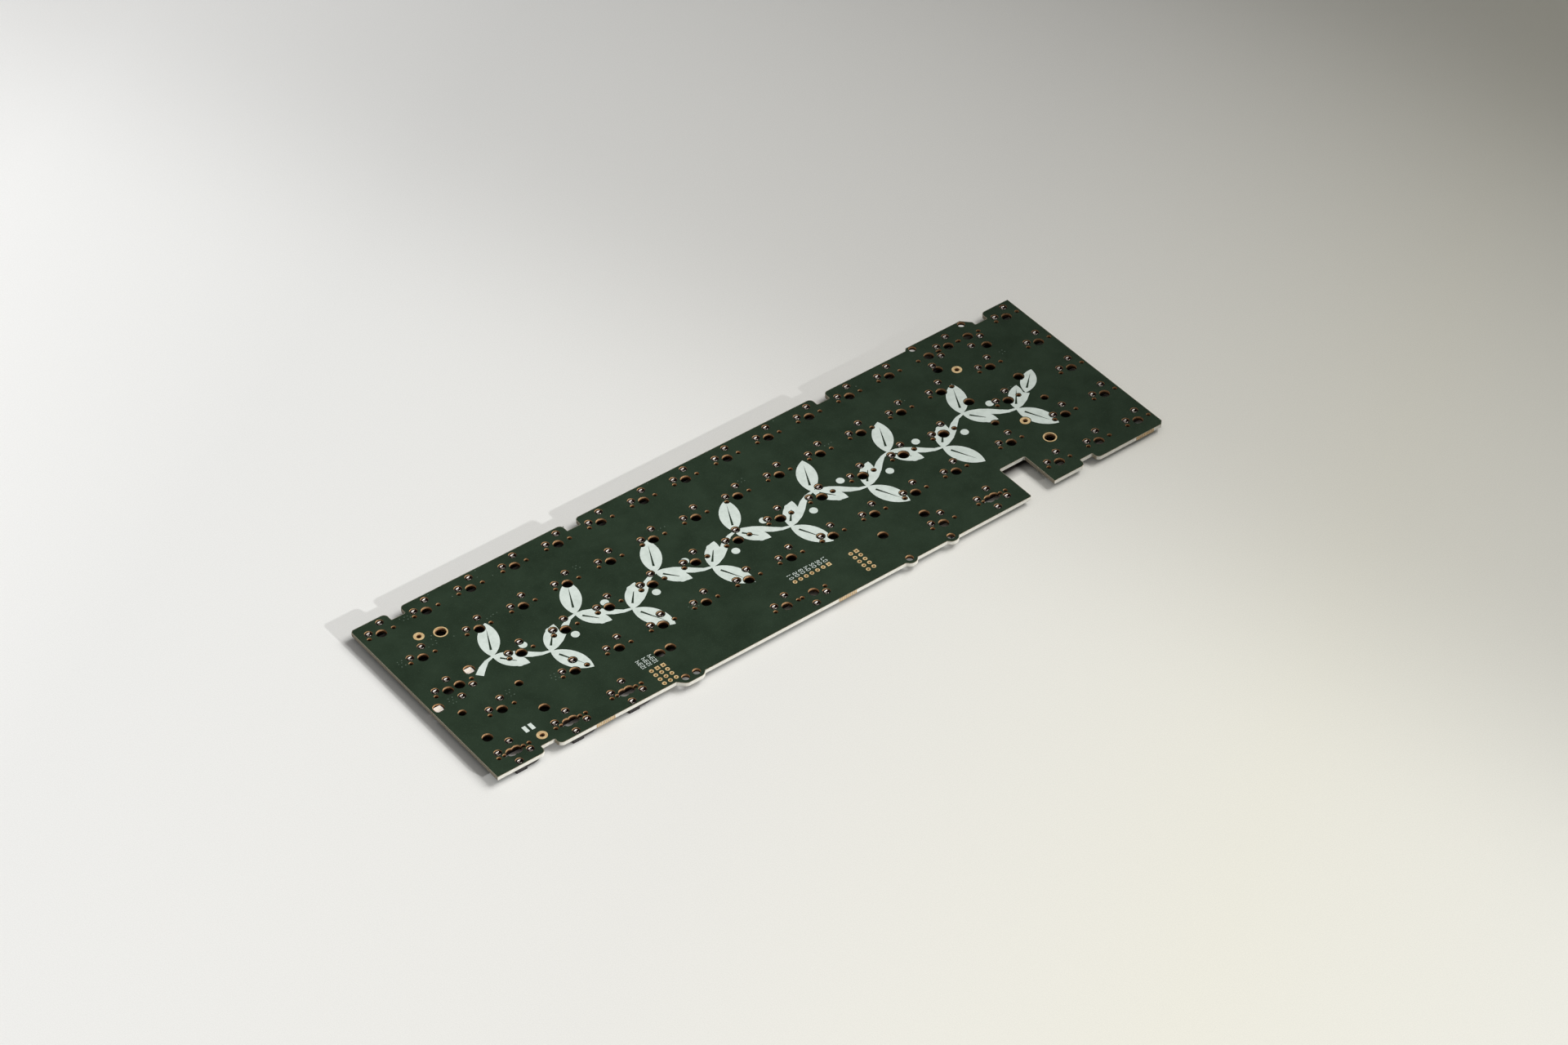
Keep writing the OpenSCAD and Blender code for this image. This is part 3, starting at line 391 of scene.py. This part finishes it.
for nodeName, node in nodes.items():
    node.data.materials.clear()
    node.data.materials.append(surfaces[slotOf[nodeName]])
leafMetal = metalSurface("springLeaf", paint(176, 164, 156), paint(240, 234, 228), 0.47, 900)
solder = metalSurface("solder", paint(150, 152, 154), paint(206, 208, 210), 0.22, 900)
fibreCore = coreSurface()
print("finishes on", len(nodes), "nodes")

# cut edge of the board: a thin skin carried round the outline
edgeLook = {
    "lip": 0.16 * mm, "skin": 0.005 * mm, "round": 0.05 * mm,
    "level": 0.001 * mm,  # a point this near the top's height lies on it
}


def outlineEdges(mesh, height):  # outer boundary of the mesh's flat top, as points and directed edges
    co, first, _, corners = meshCorners(mesh)
    points = co[first]
    flat = (np.abs(points[corners][:, :, 2] - height) < edgeLook["level"]).all(1)
    corners = corners[flat]
    edges = np.concatenate([corners[:, [0, 1]], corners[:, [1, 2]], corners[:, [2, 0]]])
    code = np.sort(edges, 1) @ np.array([len(points), 1])
    _, back, count = np.unique(code, return_inverse=True, return_counts=True)
    edges = edges[count[back.ravel()] == 1]
    group = looseParts(edges, len(points))
    outer = group[edges[np.argmin(points[edges[:, 0], 0]), 0]]
    edges = edges[group[edges[:, 0]] == outer]
    used, edges = np.unique(edges, return_inverse=True)
    return points[used], edges.reshape(-1, 2)


def cutEdge():  # profile from the top face over the wall to the underside, set out along each point's normal
    look = edgeLook
    points, edges = outlineEdges(nodes["circuit_board"].data, topZ)
    along = points[edges[:, 1], :2] - points[edges[:, 0], :2]
    outward = np.c_[along[:, 1], -along[:, 0]] / np.linalg.norm(along, axis=1)[:, None]
    normal = np.zeros((len(points), 2))
    np.add.at(normal, edges[:, 0], outward)
    np.add.at(normal, edges[:, 1], outward)
    normal /= (normal ** 2).sum(1)[:, None] / 2  # long enough to keep the skin's thickness at a corner
    lip, skin, bend = look["lip"], look["skin"], look["round"]
    profile = np.array([
        [-lip, topZ - 0.5 * skin, 1.0], [-lip + skin, topZ + skin, 1.0], [-bend, topZ + skin, 0.99],
        [skin, topZ - bend, 0.97], [skin, underZ + bend, 0.03],
        [-bend, underZ - skin, 0.01], [-lip + skin, underZ - skin, 0.0], [-lip, underZ + 0.5 * skin, 0.0],
    ])
    count = len(profile)
    ring = np.empty((len(points), count, 3))
    ring[:, :, :2] = points[:, None, :2] + normal[:, None] * profile[None, :, :1]
    ring[:, :, 2] = profile[:, 1]
    step = np.arange(count - 1)
    a, b = edges[:, :1] * count + step, edges[:, 1:] * count + step
    faces = np.stack([a, a + 1, b + 1, b], -1).reshape(-1, 4)
    levels = np.tile(profile[:, 2], len(points))
    putPiece("cutEdge", ring, faces, fibreCore, smooth=False, levels=levels)


cutEdge()

# contact leaves: the two bent springs in every pin hole, which grip the switch's pin
leafLook = {
    # down the leaf: half length along the row, distance from the pin's middle line, depth under the top
    "long": np.array([0.62, 0.72, 0.74, 0.7, 0.62, 0.52, 0.46, 0.42, 0.36, 0.36]) * mm,
    "across": np.array([0.84, 0.84, 0.8, 0.66, 0.6, 0.5, 0.42, 0.28, 0.22, 0.34]) * mm,
    "below": np.array([0.6, 0.36, 0.26, 0.5, 0.7, 0.86, 0.92, 1.16, 1.5, 2.1]) * mm,
    "bow": 0.16 * mm, "bowedFrom": 0.55 * mm,  # the ends lie back where the leaf is this far from the pin
    "shift": 0.12 * mm, "sheet": 0.06 * mm, "steps": 7,
}


# u runs along the leaf; its profile falls in two slopes to the pin, and its ends lie back by u squared
def contactLeaves():
    look = leafLook
    u = np.linspace(-1, 1, look["steps"])[:, None]
    x = u * look["long"] + look["shift"]
    y = look["across"] - look["bow"] * u ** 2 * (look["across"] > look["bowedFrom"])
    z = topZ - look["below"] - 0.5 * look["bow"] * u ** 2
    leaf = np.stack([x, y, z], -1).reshape(-1, 3)
    pair = np.stack([leaf, leaf * np.array([-1, -1, 1])])
    spots = pinPlaces()
    points = pair[None] + np.c_[spots, np.zeros(len(spots))][:, None, None]
    faces = repeated(gridFaces(look["steps"], len(look["below"])), len(leaf), 2 * len(spots))
    piece = putPiece("contactLeaves", points, faces, leafMetal)
    wall = piece.modifiers.new("sheet", "SOLIDIFY")
    wall.thickness = look["sheet"]
    wall.offset = -1


contactLeaves()

# plated through-holes under the mask: low rings that catch the light
viaLook = {
    "outer": 0.24 * mm, "inner": 0.05 * mm, "height": 0.02 * mm,
    "groups": [  # middle of a group in mm on the field, and how many lie along x and y
        (20.0, 1.3, 3, 2), (6.0, -17.0, 2, 3), (20.5, -16.0, 3, 1), (22.0, -13.0, 1, 3),
        (45.5, -16.2, 4, 1), (9.8, -43.0, 2, 3), (44.5, -55.0, 2, 3), (27.5, -52.0, 2, 3),
        (83.0, -14.0, 2, 2), (120.0, -16.0, 3, 1), (158.0, -13.0, 2, 2), (196.0, -16.5, 3, 1),
        (232.0, -14.0, 2, 2), (269.0, -34.0, 2, 3), (104.0, -56.0, 3, 2), (199.0, -54.0, 2, 3),
        (247.0, -56.0, 3, 1), (280.0, -15.0, 2, 2),
    ],
    "single": [
        (33.6, 6.5), (54, 6.6), (52.7, 3.3), (40, 0.5), (57.6, 0.8), (28.9, -16.7), (92.5, 6.4),
        (130.4, 6.5), (188.0, 6.3), (224.5, 3.0),
    ],
    "step": 1.5 * mm, "skew": 0.4, "jitter": 0.25 * mm, "seed": 7, "sides": 12,
}


def viaSpots():  # single holes and small skewed lattices, each place a little off
    look = viaLook
    spots = [onField([place]) for place in look["single"]]
    jitter = np.random.default_rng(look["seed"])
    for x, y, across, deep in look["groups"]:
        i, j = np.meshgrid(np.arange(across) - (across - 1) / 2, np.arange(deep) - (deep - 1) / 2)
        lattice = np.c_[i.ravel() + look["skew"] * (j.ravel() % 2), j.ravel()] * look["step"]
        spots.append(onField([[x, y]]) + lattice + look["jitter"] * jitter.uniform(-1, 1, lattice.shape))
    return np.concatenate(spots)


def viaRings():  # a low ring: radius and height go round a half circle, carried round the axis
    look = viaLook
    turn = np.linspace(0, 2 * np.pi, look["sides"], endpoint=False)
    radius = np.array([look["outer"], 0.8 * look["outer"], 1.3 * look["inner"], look["inner"]])[:, None]
    height = np.array([-0.1, 1.0, 0.9, 0.1])[:, None] * look["height"]
    ring = np.stack([radius * np.cos(turn), radius * np.sin(turn), height + 0 * turn], -1).reshape(-1, 3)
    spots = viaSpots()
    offset = np.c_[spots, np.full(len(spots), topZ)]
    points = ring[None] + offset[:, None]
    faces = repeated(gridFaces(len(radius), look["sides"], closed=True), len(ring), len(spots))
    viaTint = mouldedSurface("maskedRing", paint(50, 66, 52), paint(96, 112, 98), 0.5, 1500, 0.2)
    putPiece("viaRings", points, faces, viaTint)


viaRings()

# break-off ribs where the board was held in its panel, on the front and back edges
ribLook = {
    "step": 0.62 * mm, "radius": 0.2 * mm, "stand": 0.16 * mm,
    "runs": [  # first and last x and the edge's y in mm on the field, and the way that the edge faces
        (43.0, 50.5, -83.275, -1), (148.0, 156.0, -84.625, -1),
        (288.6, 297.0, -83.275, -1), (38.0, 45.0, 7.625, 1),
    ],
    "sides": 6, "taper": 0.1 * mm, "thin": 0.4,  # at its two ends a rib is thinner
}


def breakRibs():  # half-round ribs: angle a goes round from wall to wall, height runs up the board's edge
    look = ribLook
    a = np.linspace(0, np.pi, look["sides"])[:, None]
    z = np.array([underZ, underZ + look["taper"], topZ - look["taper"], topZ])[None]
    full = np.array([look["thin"], 1.0, 1.0, look["thin"]])[None]
    across, out = look["radius"] * np.cos(a) + 0 * z, look["stand"] * np.sin(a) * full
    rib = np.stack([across, out, z + 0 * a], -1).reshape(-1, 3)
    spots, ways = [], []
    for first, last, y, way in look["runs"]:
        x = np.arange(first * mm, last * mm, look["step"]) / mm
        spots.append(onField(np.c_[x, np.full(len(x), y)]))
        ways.append(np.full(len(x), way))
    spots, ways = np.concatenate(spots), np.concatenate(ways)
    points = rib[None] * np.stack([-ways, ways, np.ones_like(ways)], -1)[:, None]
    points[..., :2] += spots[:, None]
    faces = repeated(gridFaces(look["sides"], z.size), len(rib), len(spots))
    stub = mouldedSurface("ribFibre", paint(150, 116, 66), paint(206, 172, 112), 0.55, 1600)
    putPiece("breakRibs", points, faces, stub)


breakRibs()
print("edges and holes dressed")

# pin numbers beside the headers, printed in plain strokes
numberLook = {
    "stroke": 0.24 * mm, "thick": 0.03 * mm, "sunk": 0.005 * mm,
    "tall": 1.5 * mm, "wide": 0.85 * mm, "advance": 1.42 * mm,
    "left": {"columns": [72.25, 74.8, 77.35], "startY": -71.6, "text": "1234"},
    "middle": {"firstX": 140.9, "pitch": 2.54, "startY": -66.3, "count": 7},
}
strokeEnds = {  # ends of the seven strokes of a figure, in a cell of width and height 1
    "a": (0, 1, 1, 1), "b": (1, 1, 1, 0.5), "c": (1, 0.5, 1, 0), "d": (0, 0, 1, 0),
    "e": (0, 0.5, 0, 0), "f": (0, 1, 0, 0.5), "g": (0, 0.5, 1, 0.5),
}
figures = {
    "0": "abcdef", "1": "bc", "2": "abged", "3": "abgcd", "4": "fgbc",
    "5": "afgcd", "6": "afgedc", "7": "abc", "8": "abcdefg", "9": "abcdfg",
}


def figureLines(text, x, y):  # strokes of figures that read along +y from a place on the field
    look = numberLook
    lines = []
    for place, figure in enumerate(text):
        cell = np.array([strokeEnds[stroke] for stroke in figures[figure]]).reshape(-1, 2, 2)
        along = y + cell[..., 0] * look["wide"] / mm + place * look["advance"] / mm
        across = x + (0.5 - cell[..., 1]) * look["tall"] / mm
        lines.append(np.stack([across, along], -1))
    return np.concatenate(lines)


def pinNumbers():  # each stroke is a low bar: its two ends set out by half the stroke's width
    look = numberLook
    lines = [figureLines(look["left"]["text"], x, look["left"]["startY"]) for x in look["left"]["columns"]]
    for i in range(look["middle"]["count"]):
        x = look["middle"]["firstX"] + i * look["middle"]["pitch"]
        lines.append(figureLines(f"0{i + 1}", x, look["middle"]["startY"]))
    ends = onField(np.concatenate(lines))
    along = ends[:, 1] - ends[:, 0]
    along /= np.linalg.norm(along, axis=1)[:, None]
    side = np.c_[-along[:, 1], along[:, 0]]
    half = 0.5 * look["stroke"]
    start, stop = ends[:, 0] - half * along, ends[:, 1] + half * along
    corners = np.stack([start - half * side, stop - half * side, stop + half * side, start + half * side], 1)
    low = np.concatenate([corners, np.full((*corners.shape[:2], 1), topZ - look["sunk"])], -1)
    high = low + np.array([0, 0, look["thick"]])
    points = np.concatenate([low, high], 1)
    bar = np.array([[4, 5, 6, 7], [0, 1, 5, 4], [1, 2, 6, 5], [2, 3, 7, 6], [3, 0, 4, 7]])
    faces = repeated(bar, points.shape[1], len(points))
    putPiece("pinNumbers", points, faces, surfaces["white_ink"], smooth=False)


pinNumbers()

# solder: a low pillow round each foot and lead on the underside, thinning to the board
solderLook = {
    "rest": 0.004 * mm,
    "pads": [  # nodes, growth along x and y, rise
        (["socket_contacts_row_%d" % row for row in range(1, 6)], (0.3, 0.25), 0.3),
        (["diode_leads_row_%d" % row for row in range(1, 6)], (0.22, 0.2), 0.2),
        (["controller_leads"], (0.1, 0.1), 0.12),
        (["regulator_leads", "surge_chip_leads", "lamp_leads"], (0.2, 0.15), 0.16),
        (["capacitor_ends", "resistor_ends", "fuse_ends", "connector_hold_downs"], (0.2, 0.15), 0.3),
    ],
    "foot": 1.5 * mm, "inset": 0.05 * mm,  # a contact's foot; least distance from the board's ends
    "cells": 6,  # points along each side of a pillow
}


def solidBoxes(nodeName):  # lowest and highest corners of each separate solid in a node
    co, first, same, corners = meshCorners(nodes[nodeName].data)
    group = looseParts(corners, len(first))
    names, member = np.unique(group[same], return_inverse=True)
    low, high = np.full((len(names), 3), np.inf), np.full((len(names), 3), -np.inf)
    np.minimum.at(low, member, co)
    np.maximum.at(high, member, co)
    return low, high


def footBoxes(low, high):  # where a contact's box is long, only its soldered foot away from the cup
    pins = pinPlaces()
    middle = 0.5 * (low + high)[:, :2]
    nearest = pins[np.argmin(((middle[:, None] - pins[None]) ** 2).sum(-1), axis=1)]
    left = nearest[:, 0] > middle[:, 0]
    low, high = low.copy(), high.copy()
    high[left, 0] = low[left, 0] + solderLook["foot"]
    low[~left, 0] = high[~left, 0] - solderLook["foot"]
    return low, high


def solderPillows():  # the rise falls off to the pillow's edge as (1 - u^4)(1 - v^4), to the power 0.6
    look = solderLook
    side = np.linspace(-1, 1, look["cells"])
    u, v = np.meshgrid(side, side)
    swell = ((1 - u ** 4) * (1 - v ** 4)) ** 0.6
    clouds = []
    for names, grow, rise in look["pads"]:
        for name in names:
            low, high = solidBoxes(name)
            if name.startswith("socket_contacts"):
                low, high = footBoxes(low, high)
            middle, half = 0.5 * (low + high)[:, :2], 0.5 * (high - low)[:, :2] + np.array(grow) * mm
            flat = middle[:, None] + half[:, None] * np.stack([u, v], -1).reshape(1, -1, 2)
            flat = np.clip(flat, boardLow[:2] + look["inset"], boardHigh[:2] - look["inset"])
            z = underZ + look["rest"] - rise * mm * swell.reshape(1, -1) + 0 * flat[..., 0]
            clouds.append(np.concatenate([flat, z[..., None]], -1))
    points = np.concatenate(clouds)
    downward = gridFaces(look["cells"], look["cells"])[:, ::-1]
    faces = repeated(downward, u.size, len(points))
    putPiece("solderPillows", points, faces, solder)


solderPillows()

# pale bands that mark one end of each diode
bandLook = {"width": 0.32 * mm, "inset": 0.3 * mm, "proud": 0.008 * mm}


def diodeBands():  # a strip over the body's outer face, across its length near one end
    look = bandLook
    boxes = [solidBoxes("diode_bodies_row_%d" % row) for row in range(1, 6)]
    low, high = (np.concatenate(corner) for corner in zip(*boxes))
    lying = (high - low)[:, 0] > (high - low)[:, 1]
    end = np.where(lying[:, None], [1.0, 0.0], [0.0, 1.0])
    middle, half = 0.5 * (low + high)[:, :2], 0.5 * (high - low)[:, :2]
    long, wide = (end * half).sum(1), ((1 - end) * half).sum(1)
    across = end[:, ::-1]
    reach = (long - look["inset"])[:, None]
    outer, inner = reach * end, (reach - look["width"]) * end
    side = wide[:, None] * across
    flat = middle[:, None] + np.stack([inner - side, outer - side, outer + side, inner + side], 1)
    z = np.broadcast_to(low[:, None, 2:] - look["proud"], (*flat.shape[:2], 1))
    points = np.concatenate([flat, z], -1)
    turned = np.where(lying[:, None], [3, 2, 1, 0], [0, 1, 2, 3]) + 4 * np.arange(len(points))[:, None]
    putPiece("diodeBands", points, turned, surfaces["white_ink"], smooth=False)


diodeBands()
print("underside dressed")

# floor, light and camera
stageLook = {
    "half": 4.0, "corners": 9, "drop": 0.02 * mm,
    "grain": paint(190, 189, 184), "grainScale": 2400, "grainShare": 0.16, "relief": 0.02 * mm,
    # painted shadow: the floor is painted dark under the board
    "underShadow": paint(58, 54, 50), "underShadowHalf": (0.149, 0.038), "underShadowMiddle": (0.0, 0.006), "underShadowFade": 0.005,
    "paintedLight": [
        (0.0, paint(255, 255, 255)), (0.21, paint(240, 240, 239)), (0.53, paint(235, 234, 230)),
        (0.79, paint(238, 236, 225)), (1.0, paint(239, 238, 231)),
    ],
    "keyFrom": (0.37, -0.93, 0.28), "keyAim": (-0.40, -0.16, 0.0), "keyReach": 6.0,  # low key from the front
    "keyPower": 1020.0, "keyCone": 10.4, "keyBlend": 0.28, "keyRadius": 0.06,
    "softAt": (6.5, -0.5, 4.6), "softAim": (0.0, 0.0, 0.0), "softSide": 5.6, "softPower": 905.0,
    "sky": 0.265, "warm": (1.0, 0.995, 0.98), "cool": (0.99, 1.0, 1.0),
    "shadeWay": (0.55, -0.83), "shadeFrom": -0.35, "shadeTo": 0.35,  # painted light: the floor is painted brightest at the back left and greys towards the front right
    "screenWay": (0.985, 0.17), "screenAt": 0.70, "screenEnds": (-1.6, 1.6), "screenTall": 0.44,
    "cameraAt": (-0.709425, -0.934805, 1.06858),
    "forward": (0.45060, 0.58813, -0.67161), "up": (0.41137, 0.53088, 0.74090),
    "lens": 100.74, "sensor": 36.0,
}


def facing(away, upward):  # a turn whose -Z looks against the direction away
    away = np.array(away) / np.linalg.norm(away)
    side = np.cross(upward, away)
    side /= np.linalg.norm(side)
    return Matrix(np.c_[side, np.cross(away, side), away].tolist()).to_4x4()


def placed(data, place, away, upward=(0.0, 0.0, 1.0)):  # a light or camera at a place, looking against away
    item = bpy.data.objects.new(data.name, data)
    turn = facing(away, upward)
    turn.translation = place
    item.matrix_world = turn
    bpy.context.collection.objects.link(item)
    return item


def floorPiece():  # a flat grid under the sockets, with painted light along one way and a painted shadow under the board
    look = stageLook
    side = np.linspace(-look["half"], look["half"], look["corners"])
    x, y = np.meshgrid(side, side)
    points = np.stack([x, y, 0 * x - look["drop"]], -1).reshape(-1, 3)
    mesh = bpy.data.meshes.new("floor")
    mesh.from_pydata(points.tolist(), [], gridFaces(len(side), len(side)).tolist())
    base = look["paintedLight"][1][1]
    material, tree, body, coords = newSurface("paleFloor", base, 0.8, Specular_IOR_Level=0.15)
    place = {axis: partOf(tree, coords, axis) for axis in "XY"}
    across, along = (mathOf(tree, "MULTIPLY", place[axis], way) for axis, way in zip("XY", look["shadeWay"]))
    away = mathOf(tree, "ADD", across, along)
    # painted light: the floor's colour stands in for the light's falloff across it
    sheet = rampOf(tree, spanOf(tree, away, 0.0, 1.0, look["shadeFrom"], look["shadeTo"]), look["paintedLight"])
    grain = noiseOf(tree, coords, look["grainScale"], 2, 0.6)
    sheet = mixOf(tree, spanOf(tree, grain, look["grainShare"], 0.0), sheet, look["grain"])
    shadowShare = 1.0  # share of the painted shadow: 1 well under the board, 0 outside
    for axis, half, middle in zip("XY", look["underShadowHalf"], look["underShadowMiddle"]):
        reach = mathOf(tree, "ABSOLUTE", mathOf(tree, "SUBTRACT", place[axis], middle))
        under = spanOf(tree, reach, 1.0, 0.0, half - look["underShadowFade"], half)
        shadowShare = mathOf(tree, "MULTIPLY", under, shadowShare)
    tree.links.new(mixOf(tree, shadowShare, sheet, look["underShadow"]), body.inputs["Base Color"])
    bumpOf(tree, body, grain, look["relief"])
    mesh.materials.append(material)
    floor = bpy.data.objects.new("floor", mesh)
    bpy.context.collection.objects.link(floor)


def sideScreen():  # a low upright screen far to the right, which takes part of the soft light from that end
    look = stageLook
    way = np.array(look["screenWay"])
    along = np.array([-way[1], way[0]])
    ends = way * look["screenAt"] + np.array(look["screenEnds"])[:, None] * along
    low, high = np.c_[ends, [0.0, 0.0]], np.c_[ends, 2 * [look["screenTall"]]]
    points = [low[0].tolist(), low[1].tolist(), high[1].tolist(), high[0].tolist()]
    mesh = bpy.data.meshes.new("sideScreen")
    mesh.from_pydata(points, [], [(0, 1, 2, 3)])
    material, *_ = newSurface("greyScreen", look["paintedLight"][-1][1], 0.9)
    mesh.materials.append(material)
    screen = bpy.data.objects.new("sideScreen", mesh)
    screen.visible_camera = False
    bpy.context.collection.objects.link(screen)


def lightAndCamera():  # a low spot from the front, a large soft box from the right, and an even sky
    look = stageLook
    scene = bpy.context.scene
    scene.view_settings.view_transform = "Standard"
    world = bpy.data.worlds.new("studio")
    scene.world = world
    world.use_nodes = True
    sky = world.node_tree.nodes["Background"]
    sky.inputs["Color"].default_value = (*look["warm"], 1.0)
    sky.inputs["Strength"].default_value = look["sky"]
    key = bpy.data.lights.new("keyLight", "SPOT")
    key.energy, key.color = look["keyPower"], look["cool"]
    key.spot_size, key.spot_blend = np.radians(look["keyCone"]), look["keyBlend"]
    key.shadow_soft_size = look["keyRadius"]
    away = np.array(look["keyFrom"]) / np.linalg.norm(look["keyFrom"])
    placed(key, np.array(look["keyAim"]) + look["keyReach"] * away, away)
    soft = bpy.data.lights.new("softBox", "AREA")
    soft.energy, soft.color, soft.size = look["softPower"], look["warm"], look["softSide"]
    placed(soft, look["softAt"], np.array(look["softAt"]) - np.array(look["softAim"]))
    lens = bpy.data.cameras.new("camera")
    lens.lens, lens.sensor_width = look["lens"], look["sensor"]
    lens.clip_start, lens.clip_end = 0.05, 50.0
    scene.camera = placed(lens, look["cameraAt"], -np.array(look["forward"]), look["up"])


floorPiece()
sideScreen()
lightAndCamera()
print("stage set")
